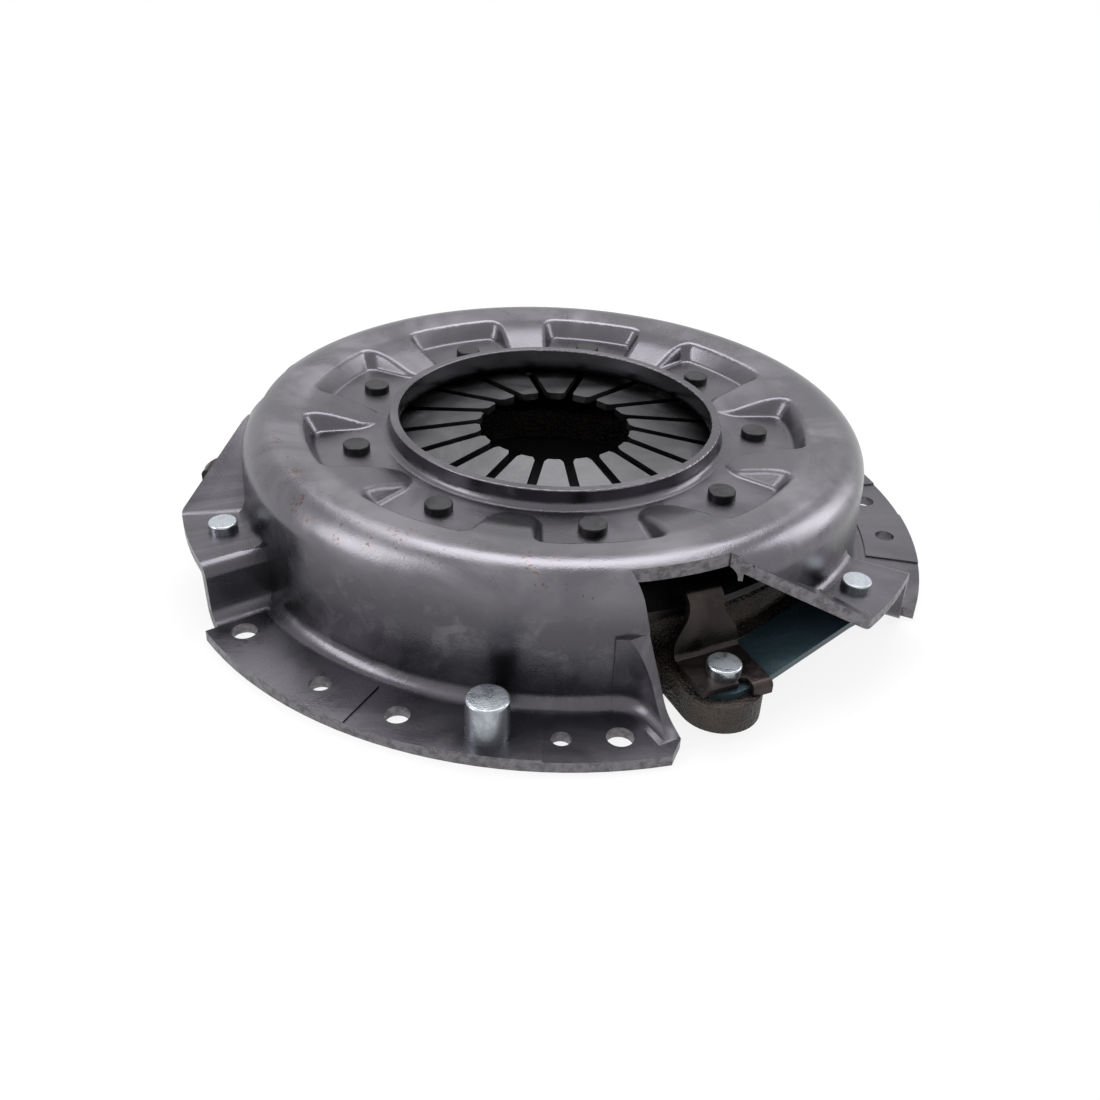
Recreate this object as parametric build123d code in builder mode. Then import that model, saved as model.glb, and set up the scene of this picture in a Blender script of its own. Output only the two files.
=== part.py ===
"""Diaphragm clutch cover assembly: pressed cover, diaphragm spring, pressure plate.

Millimetres. The origin lies on the clutch axis, in the plane where the cover's
flange meets the flywheel, and +Z points from the flywheel to the release bearing.
"""

from build123d import *
from math import atan2, cos, degrees, radians, sin, tan
import os

os.makedirs("parts", exist_ok=True)

# Angular layout, three alike sectors
SECTORS = 3
SECTOR_STEP = 360 / SECTORS
SECTOR_MIDS = [-120, 0, 120]

# Cover sheet and flange
SHEET = 3.8
FLANGE_R = 141.5
FLANGE_START = -33.0
BOLT_CIRCLE_R = 131.0
BOLT_HOLE_R = 4.3
DOWEL_HOLE_R = 4.0
BOLT_OFFSET = 30.0
BALANCE_HOLE_R = 3.6
BALANCE_HOLE_OFFSET = 12.5
TOOLING_HOLE_R = 3.15
TOOLING_HOLE_OFFSET = 22.2
PAD_RISE = 0.6
PAD_NEAR = 5.3
PAD_FAR = 19.8
PAD_START_R = 122.0
CORNER_START = 35.6
CORNER_END_R = 134.6
CORNER_END = 37.8

# Skirt and shoulder
SKIRT_FOOT_R = 116.2
FOOT_BEND = 5.0
SHOULDER_CORNER_R = 114.2
SHOULDER_CORNER_Z = 52.1
SHOULDER_BEND = 11.3

# Crown: raised lobes, pockets and the turned-up lip
LOBE_BREAK_R = 84.0
LOBE_BREAK_Z = 47.9
LOBE_ROOT_R = 66.2
ROOT_BEND = 6.0
LOBE_BEND = 45.0
FLOOR_Z = 42.4
LIP_R = 61.5
LIP_WALL = 3.3
LIP_TOP_Z = 49.4
LIP_BEND = 3.0
LIP_EDGE = 0.5
LIP_SEAT_R = 66.0
POCKET_R = 89.0
POCKET_DRAFT = 30.0
POCKET_CORNER = 5.0
POCKET_RIM = 3.0
POCKET_FILLET = 2.0
POCKETS = 9
POCKET_STEP = 360 / POCKETS
FIRST_RIVET = -90.0
LOBE_NOSE_R = 9.3
LOBE_NOSE_AT = 76.0
LOBE_FLARE = 14.7
LOBE_ROOT_AT = 102.0
LOBE_DRAFT = 24.0

# Strap ears
EAR_TOP_Z = 23.6
EAR_R = 137.2
EAR_START = -57.0
EAR_STEP_AT = -34.6
EAR_STEP_LEAN = 7.0
EAR_BEND = 5.0
EAR_CORNER = 4.0
EAR_RIVET_AT = -45.2
WING_ROOT_AT = -70.0
WING_ROOT_BEND = 12.0
WING_TOP_R = 115.2
WING_TOP_AT = -65.9
WING_TOP_Z = 45.0
WING_UNDER_Z = 39.0
WING_TIP_AT = -51.7
WING_FACING = -59.0
WING_FOLD = 18.6
WING_SLOPE = 32.1
WING_BEND = 5.0
WING_STOP = -44.2
FOLD_END = 2.8
FOLD_BEND = 3.6

# Windows between flange and ear
WINDOW_MID = 51.0
WINDOW_TOP_Z = 49.0
WINDOW_TOP_LEFT = -34.8
WINDOW_LEFT = -31.0
WINDOW_RIGHT = -2.0
WINDOW_LEFT_Z = 30.0
WINDOW_CUT_R = 109.0
WINDOW_BLEND = 12.0
FLARE_T = 2.8
FLARE_TIP_R = 134.6
FLARE_KNEE_R = 127.0
FLARE_KNEE_Z = 7.6
FLARE_KNEE_BEND = 12.0
FLARE_TOP_R = 114.9
FLARE_TOP_Z = 29.0
FLARE_BEND = 5.0
FLARE_SWEEP = 12.0

# Diaphragm spring
SPRING_T = 2.7
SPRING_TIP_R = 28.2
SPRING_RIM_R = 105.0
SPRING_TIP_Z = 43.5
SPRING_SLOPE = 0.182
FINGERS = 18
SLOT_W = 3.5
SLOT_ROOT_R = 5.6
TIP_CHAMFER = 2.2
TIP_LEAD = 1.5

# Pivot wire rings and fulcrum rivets
FULCRUM_R = 75.0
PIVOT_R = 81.0
WIRE_D = 4.5
SEAT_GAP = 0.05
RIVET_SHANK_R = 3.4
RIVET_HOLE_R = 3.45
RIVET_HEAD_R = 4.8
RIVET_HEAD_H = 2.8
RIVET_TAIL_R = 7.4
RIVET_TAIL_H = 2.6
RIVET_EDGE = 0.6

# Pressure plate
PLATE_FACE_Z = 1.0
PLATE_BORE_R = 74.0
PLATE_R = 111.0
PLATE_RIM_Z = 10.5
PLATE_RIM_CHAMFER = 2.5
PLATE_BODY_R = 104.8
PLATE_WEB_Z = 13.0
PLATE_GROOVE = 1.6
PLATE_GROOVE_Z = 15.2
PLATE_GROOVE_TOP = 17.3
RIDGE_R = 102.0
RIDGE_GAP = 0.3
RIDGE_INNER_R = 97.5
RIDGE_SHOULDER = 2.5
RIDGE_TOP_W = 2.0
RIDGE_ROUND = 1.0
RIDGE_LEAN = 2.0
PLATE_BORE_CHAMFER = 2.0
LUG_ROOT_R = 106.0
LUG_R = 13.0
LUG_AT = 45.6
LUG_BOTTOM_Z = 3.6
LUG_TOP_Z = 13.5
STRAP_CIRCLE_R = 124.7

# Drive straps
LEAVES = 3
LEAF_T = 0.8
LEAF_W = 18.0
LEAF_FLAT = 13.0
LEAF_BEND = 8.0
STRAP_RIVET_R = 3.25
STRAP_HOLE_R = 3.3

# Retracting clips
CLIP_T = 2.0
CLIP_W = 23.0
CLIP_NECK_W = 12.4
CLIP_OUT = 7.2
CLIP_RISE_R = 114.5
CLIP_NECK_R = 111.7
CLIP_NECK_Z = 35.5
CLIP_PEAK_R = 107.5
CLIP_PEAK_Z = 38.6
CLIP_HOOK_R = 99.0
CLIP_WAIST_LOW_Z = 23.0
CLIP_WAIST_HIGH_Z = 31.0
CLIP_WAIST_BEND = 8.0
NOTCH_R = 131.9
NOTCH_AT = 2.9
NOTCH_SIZE = 1.9
CLIP_BEND = 2.0
CLIP_GAP = 0.3
TAB_START = 4.6
TAB_W = 6.9
TAB_DROP = 4.4
TAB_SEAT = 0.6

# Strap rivets
LUG_HEAD_R = 5.5
EAR_HEAD_R = 5.0
STRAP_HEAD_H = 3.0
STRAP_TAIL_H = 1.8
STRAP_TAIL_R = 4.8

# Balance weight
WEIGHT_R = 6.75
WEIGHT_H = 13.3
WEIGHT_HEAD_EDGE = 0.8
STEM_CLEARANCE = 0.05

# Reach of the cutting tools past the sheet
REACH = 160.0
BELOW = -5.0
TOOL_START_R = 100.0
EAR_SPARE = 6.0
SECTOR_LAP = 1.0
TOOL_TOP_Z = 54.0


def polar(radius, angle, height=0.0):
    """Point at a radius and an angle in degrees."""
    return (radius * cos(radians(angle)), radius * sin(radians(angle)), height)


def mitre(points, distance):
    """Shift a polyline to its right by a distance, with its corners kept sharp."""
    shifted = []
    for i, (x, y) in enumerate(points):
        near = points[max(i - 1, 0)]
        far = points[min(i + 1, len(points) - 1)]
        before = atan2(y - near[1], x - near[0]) if i else atan2(far[1] - y, far[0] - x)
        after = atan2(far[1] - y, far[0] - x) if i < len(points) - 1 else before
        middle = (before + after) / 2
        length = distance / cos((after - before) / 2)
        shifted.append((x + length * sin(middle), y - length * cos(middle)))
    return shifted


def crown_form(inset):
    """Solid under the sheet's top face (inset 0) or underside (inset SHEET)."""
    outer = [
        (0, FLOOR_Z),
        (LOBE_ROOT_R, FLOOR_Z),
        (LOBE_BREAK_R, LOBE_BREAK_Z),
        (SHOULDER_CORNER_R, SHOULDER_CORNER_Z),
        (SKIRT_FOOT_R, SHEET),
        (REACH, SHEET),
    ]
    points = mitre(outer, inset)
    bends = (ROOT_BEND, LOBE_BEND, SHOULDER_BEND - inset, FOOT_BEND + inset)
    with BuildPart() as form:
        with BuildSketch(Plane.XZ):
            with BuildLine():
                FilletPolyline(*points, radius=bends)
                Polyline(points[-1], (REACH, BELOW), (0, BELOW), points[0])
            make_face()
        revolve(axis=Axis.Z)
    return form.part


def lobe_form(inset):
    """Drafted tongue that stands between two pockets, with a round nose."""
    nose = LOBE_NOSE_R - inset * tan(radians((90 - LOBE_DRAFT) / 2))
    apex = LOBE_NOSE_AT - nose / sin(radians(LOBE_FLARE))
    half = (LOBE_ROOT_AT - apex) * tan(radians(LOBE_FLARE))
    with BuildPart() as lobe:
        with BuildSketch(Plane.XY.offset(FLOOR_Z - inset)):
            with BuildLine():
                FilletPolyline(
                    (LOBE_ROOT_AT, half), (apex, 0), (LOBE_ROOT_AT, -half), radius=nose
                )
                Line((LOBE_ROOT_AT, -half), (LOBE_ROOT_AT, half))
            make_face()
        extrude(amount=TOOL_TOP_Z - FLOOR_Z + inset, taper=LOBE_DRAFT)
    return lobe.part


def is_pocket_corner(edge):
    """Whether an edge of the uncut pockets climbs from floor to top beside a lobe."""
    low = min((edge @ 0).Z, (edge @ 1).Z)
    high = max((edge @ 0).Z, (edge @ 1).Z)
    middle = edge.center()
    outside = (middle.X**2 + middle.Y**2) ** 0.5 > POCKET_R
    return outside and low < FLOOR_Z + 0.1 and high > TOOL_TOP_Z - 0.1


def is_pocket_rim(edge):
    """Whether an edge runs along the top of a pocket's wall or corner."""
    middle = edge.center()
    radius = (middle.X**2 + middle.Y**2) ** 0.5
    low = min((edge @ 0).Z, (edge @ 1).Z)
    wall = POCKET_R + (middle.Z - FLOOR_Z) * tan(radians(POCKET_DRAFT))
    crossing = edge.geom_type == GeomType.CIRCLE and abs(radius - wall) > 0.2
    near = LOBE_ROOT_R < radius < wall + 0.2 and edge.geom_type != GeomType.LINE
    return near and FLOOR_Z + 1 < low < SHOULDER_CORNER_Z - 2 and not crossing


def pocket_form(inset):
    """Ring of nine pockets round the lip, down to the floor of the crown."""
    floor = FLOOR_Z - inset
    foot = POCKET_R + inset * tan(radians((90 - POCKET_DRAFT) / 2))
    top = foot + (TOOL_TOP_Z - floor) * tan(radians(POCKET_DRAFT))
    lobe = lobe_form(inset)
    with BuildPart() as pockets:
        with BuildSketch(Plane.XZ):
            with BuildLine():
                Polyline(
                    (LIP_R - LIP_WALL, floor),
                    (foot, floor),
                    (top, TOOL_TOP_Z),
                    (LIP_R - LIP_WALL, TOOL_TOP_Z),
                    close=True,
                )
            make_face()
        revolve(axis=Axis.Z)
        with PolarLocations(0, POCKETS, start_angle=FIRST_RIVET + POCKET_STEP / 2):
            add(lobe, mode=Mode.SUBTRACT)
        if not inset:
            fillet(pockets.edges().filter_by(is_pocket_corner), POCKET_CORNER)
        foot_edges = pockets.faces().sort_by(Axis.Z)[0].outer_wire().edges()
        fillet(foot_edges, POCKET_FILLET + inset)
    return pockets.part


def lip_ring():
    """Turned-up lip round the centre opening, with its bend into the floor."""
    bore = LIP_R - LIP_WALL
    under = FLOOR_Z - SHEET
    with BuildPart() as lip:
        with BuildSketch(Plane.XZ):
            with BuildLine():
                Polyline(
                    (LIP_SEAT_R, under),
                    (LIP_SEAT_R, FLOOR_Z),
                    (LIP_R, FLOOR_Z),
                    (LIP_R, LIP_TOP_Z),
                    (bore, LIP_TOP_Z),
                    (bore, under),
                    close=True,
                )
            make_face()
            fillet(vertices().sort_by_distance((LIP_R, FLOOR_Z))[0], LIP_BEND)
            fillet(vertices().sort_by_distance((bore, under))[0], LIP_BEND + LIP_WALL)
            fillet(vertices().sort_by_distance((LIP_R, LIP_TOP_Z))[0], LIP_EDGE)
            fillet(vertices().sort_by_distance((bore, LIP_TOP_Z))[0], LIP_EDGE)
        revolve(axis=Axis.Z)
    return lip.part


def cross_plane(angle):
    """Plane across the radius at an angle: x runs round the axis, y runs up."""
    return Plane(origin=(0, 0, 0), x_dir=polar(1, angle + 90), z_dir=polar(1, angle))


def side_plane(angle):
    """Plane that holds the axis and the radius at an angle: x runs out, y runs up."""
    return Plane(origin=(0, 0, 0), x_dir=polar(1, angle), z_dir=polar(1, angle - 90))


def sector_sketch(start, end, near, far, height):
    """Ring sector between two angles and two radii, in a level plane."""
    with BuildSketch(Plane.XY.offset(height)) as sector:
        with BuildLine():
            inner = CenterArc((0, 0), near, start, end - start)
            outer = CenterArc((0, 0), far, start, end - start)
            Line(inner @ 0, outer @ 0)
            Line(inner @ 1, outer @ 1)
        make_face()
    return sector.sketch


def sector_block(start, end, near, far, bottom, top):
    """Ring sector as a solid between two heights."""
    with BuildPart() as block:
        add(sector_sketch(start, end, near, far, bottom))
        extrude(amount=top - bottom)
    return block.part


def fold_form(start, stop, inset):
    """Rounded fold between the skirt and the top of an ear."""
    lean = (SKIRT_FOOT_R - SHOULDER_CORNER_R) / (SHOULDER_CORNER_Z - SHEET)
    fold_r = SKIRT_FOOT_R - lean * (EAR_TOP_Z - SHEET)
    rise = 2 * FOLD_BEND
    fold = [
        (fold_r - lean * rise, EAR_TOP_Z + rise),
        (fold_r, EAR_TOP_Z),
        (fold_r + rise, EAR_TOP_Z),
    ]
    fold = mitre(fold, inset)
    deep = EAR_TOP_Z - inset - 1
    with BuildPart() as ring:
        with BuildSketch(Plane.XZ):
            with BuildLine():
                FilletPolyline(*fold, radius=FOLD_BEND + inset)
                Polyline(
                    fold[-1],
                    (fold[-1][0], deep),
                    (TOOL_START_R + 2, deep),
                    (TOOL_START_R + 2, fold[0][1]),
                    fold[0],
                )
            make_face()
        revolve(axis=Axis.Z)
        add(
            sector_block(start, stop, TOOL_START_R, REACH, BELOW, TOOL_TOP_Z),
            mode=Mode.INTERSECT,
        )
    return ring.part


def ear_form(mid, inset):
    """Solid under one strap ear and its step down to the flange."""
    step_foot = (EAR_TOP_Z - SHEET) * tan(radians(EAR_STEP_LEAN))
    step = [(-REACH, EAR_TOP_Z), (-step_foot, EAR_TOP_Z), (0, SHEET), (REACH, SHEET)]
    step = mitre(step, inset)
    start = mid + EAR_START
    stop = mid + EAR_STEP_AT + EAR_SPARE
    with BuildPart() as ear:
        with BuildSketch(cross_plane(mid + EAR_STEP_AT)):
            with BuildLine():
                FilletPolyline(*step, radius=(EAR_BEND - inset, FOOT_BEND + inset))
                Polyline(step[-1], (REACH, BELOW / 2), (-REACH, BELOW / 2), step[0])
            make_face()
        extrude(amount=2 * REACH)
        add(
            sector_block(start, stop, TOOL_START_R, REACH, BELOW, TOOL_TOP_Z),
            mode=Mode.INTERSECT,
        )
    return ear.part


def wing_form(mid, inset):
    """Solid under the sloped wing that joins an ear to the shoulder."""
    run = (WING_TOP_Z - EAR_TOP_Z) / tan(radians(WING_SLOPE))
    slope = [
        (WING_FOLD - run, WING_TOP_Z),
        (WING_FOLD, EAR_TOP_Z),
        (WING_FOLD + run, EAR_TOP_Z),
    ]
    slope = mitre(slope, inset)
    start = mid + WING_TOP_AT - EAR_SPARE
    with BuildPart() as wing:
        with BuildSketch(cross_plane(mid + WING_FACING)):
            with BuildLine():
                FilletPolyline(*slope, radius=WING_BEND + inset)
                Polyline(
                    slope[-1], (slope[-1][0], BELOW / 2), (slope[0][0], BELOW / 2), slope[0]
                )
            make_face()
        extrude(amount=2 * REACH)
        add(
            sector_block(start, mid + WING_STOP, TOOL_START_R, REACH, BELOW, TOOL_TOP_Z),
            mode=Mode.INTERSECT,
        )
    return wing.part


def wing_trim(mid):
    """Cut along a wing's free edge and round the ear's corner."""
    root = polar(WINDOW_CUT_R, mid + WING_ROOT_AT)[:2]
    top = polar(WING_TOP_R, mid + WING_TOP_AT)[:2]
    tip = polar(EAR_R, mid + WING_TIP_AT)[:2]
    round_on = polar(2 * EAR_CORNER, mid + WING_TIP_AT + 90)[:2]
    past = (tip[0] + round_on[0], tip[1] + round_on[1])
    far = 2 * REACH
    with BuildPart() as trim:
        with BuildSketch(Plane.XY.offset(BELOW)):
            with BuildLine():
                FilletPolyline(root, top, tip, past, radius=(WING_ROOT_BEND, EAR_CORNER))
                Polyline(
                    past,
                    polar(far, mid + WING_TIP_AT + EAR_SPARE)[:2],
                    polar(far, mid + WING_ROOT_AT - EAR_SPARE)[:2],
                    root,
                )
            make_face()
        extrude(amount=2 * TOOL_TOP_Z)
        add(
            sector_block(
                mid + WING_ROOT_AT - EAR_SPARE,
                mid + WING_TOP_AT,
                WINDOW_CUT_R,
                WING_TOP_R,
                BELOW,
                WING_UNDER_Z,
            )
        )
    return trim.part


def corner_trim(mid):
    """Cut across the flange's outer corner beside a window."""
    with BuildPart() as trim:
        with BuildSketch(Plane.XY.offset(BELOW)):
            Polygon(
                polar(FLANGE_R, mid + CORNER_START)[:2],
                polar(2 * FLANGE_R, mid + CORNER_START)[:2],
                polar(2 * FLANGE_R, mid + WINDOW_MID)[:2],
                polar(CORNER_END_R, mid + CORNER_END)[:2],
                align=None,
            )
        extrude(amount=FLARE_TOP_Z)
    return trim.part


def beside_window(radius):
    """Reach along a window's middle line of a point at a radius on its left side."""
    return (radius**2 - WINDOW_LEFT**2) ** 0.5


def gusset(mid):
    """Turned-up end of the flange beside a window, swept into the skirt."""
    face = WINDOW_LEFT - FLARE_T
    reach = SKIRT_FOOT_R + FLARE_SWEEP
    sweep_t = face - FLARE_SWEEP
    sweep_out = (reach**2 - sweep_t**2) ** 0.5
    skirt_share = (SKIRT_FOOT_R - SHEET / 2) / reach
    side = cross_plane(mid + WINDOW_MID)
    level = Plane(origin=(0, 0, SHEET / 2), x_dir=side.x_dir, z_dir=(0, 0, 1))
    with BuildPart() as cutter:
        with BuildSketch(level.offset(SHEET / 2)):
            with Locations((sweep_t, -sweep_out)):
                Circle(FLARE_SWEEP)
        extrude(amount=FLARE_TOP_Z)
        fillet(cutter.edges().sort_by(Axis.Z)[0], FLARE_BEND)
    with BuildPart() as web:
        with BuildSketch(side):
            with BuildLine():
                FilletPolyline(
                    (face, TOOL_TOP_Z),
                    (face, SHEET),
                    (face - 2 * FLARE_BEND, SHEET),
                    radius=FLARE_BEND,
                )
                Polyline(
                    (face - 2 * FLARE_BEND, SHEET),
                    (face - 2 * FLARE_BEND, SHEET / 2),
                    (WINDOW_LEFT, SHEET / 2),
                    (WINDOW_LEFT, TOOL_TOP_Z),
                    (face, TOOL_TOP_Z),
                )
            make_face()
        extrude(amount=REACH)
        with BuildSketch(level):
            Polygon(
                (sweep_t, -sweep_out),
                (face + FLARE_T / 2, -sweep_out),
                (face + FLARE_T / 2, -sweep_out * skirt_share),
                (sweep_t * skirt_share, -sweep_out * skirt_share),
                align=None,
            )
        extrude(amount=FLARE_TOP_Z)
        add(cutter.part, mode=Mode.SUBTRACT)
        with BuildSketch(side_plane(mid + WINDOW_MID)):
            with BuildLine():
                FilletPolyline(
                    (beside_window(FLARE_TIP_R), SHEET),
                    (beside_window(FLARE_KNEE_R), FLARE_KNEE_Z),
                    (beside_window(FLARE_TOP_R), FLARE_TOP_Z),
                    radius=FLARE_KNEE_BEND,
                )
                Polyline(
                    (beside_window(FLARE_TOP_R), FLARE_TOP_Z),
                    (TOOL_START_R, FLARE_TOP_Z),
                    (TOOL_START_R, 0),
                    (beside_window(FLARE_TIP_R), 0),
                    (beside_window(FLARE_TIP_R), SHEET),
                )
            make_face()
        extrude(amount=REACH, both=True, mode=Mode.INTERSECT)
    return web.part


def sheet_form(inset):
    """The whole cover's solid under its top face or under its underside."""
    with BuildPart() as form:
        add(crown_form(inset))
        add(pocket_form(inset), mode=Mode.SUBTRACT)
        if not inset:
            fillet(form.edges().filter_by(is_pocket_rim), POCKET_RIM)
        for mid in SECTOR_MIDS:
            add(ear_form(mid, inset))
            add(fold_form(mid + EAR_START + SECTOR_LAP, mid + EAR_STEP_AT - FOLD_END, inset))
            add(wing_form(mid, inset))
    return form.part


def window_tool(mid):
    """Cut that opens one window through the skirt and shoulder."""
    with BuildPart() as window:
        with BuildSketch(cross_plane(mid + WINDOW_MID)):
            with BuildLine():
                FilletPolyline(
                    (WINDOW_LEFT, BELOW),
                    (WINDOW_LEFT, WINDOW_LEFT_Z),
                    (WINDOW_TOP_LEFT, WINDOW_TOP_Z),
                    radius=WINDOW_BLEND,
                )
                Polyline(
                    (WINDOW_TOP_LEFT, WINDOW_TOP_Z),
                    (WINDOW_TOP_LEFT, TOOL_TOP_Z),
                    (WINDOW_RIGHT, TOOL_TOP_Z),
                    (WINDOW_RIGHT, BELOW),
                    (WINDOW_LEFT, BELOW),
                )
            make_face()
        extrude(amount=REACH)
        with BuildSketch(Plane.XY.offset(BELOW)):
            Circle(WINDOW_CUT_R)
        extrude(amount=2 * TOOL_TOP_Z, mode=Mode.SUBTRACT)
    return window.part


def coined_pads(mid):
    """Two low raised pads of the flange, one each side of the dowel hole."""
    with BuildPart() as pads:
        for start, end in ((-PAD_FAR, -PAD_NEAR), (PAD_NEAR, PAD_FAR)):
            add(
                sector_block(
                    mid + start, mid + end, PAD_START_R, FLANGE_R, SHEET / 2, SHEET + PAD_RISE
                )
            )
    return pads.part


def flange_holes():
    """Drilled holes of the flange: bolts, dowels, balance and tooling holes."""
    with BuildPart() as drills:
        for mid in SECTOR_MIDS:
            for shift, radius in (
                (-BOLT_OFFSET, BOLT_HOLE_R),
                (0, DOWEL_HOLE_R),
                (BOLT_OFFSET, BOLT_HOLE_R),
                (-BALANCE_HOLE_OFFSET, BALANCE_HOLE_R),
                (BALANCE_HOLE_OFFSET, BALANCE_HOLE_R),
                (TOOLING_HOLE_OFFSET, TOOLING_HOLE_R),
            ):
                with BuildSketch(Plane.XY.offset(BELOW)):
                    with Locations(polar(BOLT_CIRCLE_R, mid + shift)[:2]):
                        Circle(radius)
                extrude(amount=SHEET + PAD_RISE - 2 * BELOW)
    return drills.part


def rivet_holes():
    """Holes of the crown's fulcrum rivets and of the ears' strap rivets."""
    with BuildPart() as drills:
        with BuildSketch(Plane.XY.offset(BELOW)):
            with PolarLocations(FULCRUM_R, POCKETS, start_angle=FIRST_RIVET):
                Circle(RIVET_HOLE_R)
            with PolarLocations(STRAP_CIRCLE_R, SECTORS, start_angle=EAR_RIVET_AT):
                Circle(STRAP_HOLE_R)
        extrude(amount=2 * TOOL_TOP_Z)
    return drills.part


with BuildPart() as clutch_cover:
    add(sheet_form(0))
    for mid in SECTOR_MIDS:
        add(gusset(mid))
        add(coined_pads(mid))
    add(sheet_form(SHEET), mode=Mode.SUBTRACT)
    with BuildSketch(Plane.XY.offset(BELOW)):
        Circle(LIP_SEAT_R)
    extrude(amount=2 * TOOL_TOP_Z, mode=Mode.SUBTRACT)
    add(lip_ring())
    for mid in SECTOR_MIDS:
        add(window_tool(mid), mode=Mode.SUBTRACT)
        add(wing_trim(mid), mode=Mode.SUBTRACT)
        add(corner_trim(mid), mode=Mode.SUBTRACT)
        add(
            sector_block(
                mid + WING_TIP_AT, mid + FLANGE_START, EAR_R, 2 * REACH, BELOW, TOOL_TOP_Z
            ),
            mode=Mode.SUBTRACT,
        )
        add(
            sector_block(
                mid + FLANGE_START - SECTOR_LAP, mid + WINDOW_MID, FLANGE_R, 2 * REACH, BELOW, TOOL_TOP_Z
            ),
            mode=Mode.SUBTRACT,
        )
    add(flange_holes(), mode=Mode.SUBTRACT)
    add(rivet_holes(), mode=Mode.SUBTRACT)
clutch_cover.part.label = "clutch_cover"
export_step(clutch_cover.part, "parts/clutch_cover.step")


def spring_top(radius):
    """Height of the diaphragm spring's top face at a radius."""
    return SPRING_TIP_Z - SPRING_SLOPE * (radius - SPRING_TIP_R)


def spring_under(radius):
    """Height of the diaphragm spring's underside at a radius."""
    return spring_top(radius) - SPRING_T / cos(atan2(SPRING_SLOPE, 1))


with BuildSketch() as slot:
    with BuildLine():
        Polyline(
            (SPRING_TIP_R - TIP_CHAMFER, -SLOT_W / 2 - TIP_CHAMFER),
            (SPRING_TIP_R + TIP_LEAD, -SLOT_W / 2),
            (FULCRUM_R, -SLOT_W / 2),
            (FULCRUM_R, SLOT_W / 2),
            (SPRING_TIP_R + TIP_LEAD, SLOT_W / 2),
            (SPRING_TIP_R - TIP_CHAMFER, SLOT_W / 2 + TIP_CHAMFER),
            close=True,
        )
    make_face()
    with Locations((FULCRUM_R, 0)):
        Circle(SLOT_ROOT_R)


with BuildPart() as diaphragm_spring:
    with BuildSketch(Plane.XZ):
        with BuildLine():
            Polyline(
                (SPRING_TIP_R, spring_top(SPRING_TIP_R)),
                (SPRING_RIM_R, spring_top(SPRING_RIM_R)),
                (SPRING_RIM_R, spring_under(SPRING_RIM_R)),
                (SPRING_TIP_R, spring_under(SPRING_TIP_R)),
                close=True,
            )
        make_face()
    revolve(axis=Axis.Z)
    with BuildSketch():
        with PolarLocations(0, FINGERS, start_angle=FIRST_RIVET):
            add(slot.sketch)
    extrude(amount=TOOL_TOP_Z, mode=Mode.SUBTRACT)
diaphragm_spring.part.label = "diaphragm_spring"
export_step(diaphragm_spring.part, "parts/diaphragm_spring.step")


wire_reach = (WIRE_D / 2 + SEAT_GAP) / cos(atan2(SPRING_SLOPE, 1))
ring_heights = {
    "pivot_ring_upper": spring_top(PIVOT_R) + wire_reach,
    "pivot_ring_lower": spring_under(PIVOT_R) - wire_reach,
}
for name, height in ring_heights.items():
    with BuildPart() as pivot_ring:
        with Locations((0, 0, height)):
            Torus(PIVOT_R, WIRE_D / 2)
    pivot_ring.part.label = name
    export_step(pivot_ring.part, f"parts/{name}.step")


def rivet(head_z, head_r, head_h, shank_r, tail_z, tail_r, tail_h):
    """Headed rivet on the axis: head above head_z, formed tail below tail_z."""
    with BuildPart() as pin:
        with BuildSketch(Plane.XZ):
            with BuildLine():
                Polyline(
                    (0, head_z + head_h),
                    (head_r, head_z + head_h),
                    (head_r, head_z),
                    (shank_r, head_z),
                    (shank_r, tail_z),
                    (tail_r, tail_z),
                    (tail_r, tail_z - tail_h),
                    (0, tail_z - tail_h),
                    close=True,
                )
            make_face()
            for corner in ((head_r, head_z + head_h), (tail_r, tail_z - tail_h)):
                fillet(vertices().sort_by_distance(corner)[0], RIVET_EDGE)
        revolve(axis=Axis.Z)
    return pin.part


ring_bottom = ring_heights["pivot_ring_lower"] - WIRE_D / 2 - SEAT_GAP
fulcrum_rivet = rivet(
    FLOOR_Z, RIVET_HEAD_R, RIVET_HEAD_H, RIVET_SHANK_R, ring_bottom, RIVET_TAIL_R, RIVET_TAIL_H
)
with BuildPart() as fulcrum_rivets:
    with PolarLocations(FULCRUM_R, POCKETS, start_angle=FIRST_RIVET):
        add(fulcrum_rivet)
fulcrum_rivets.part.label = "fulcrum_rivets"
export_step(fulcrum_rivets.part, "parts/fulcrum_rivets.step")


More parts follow.
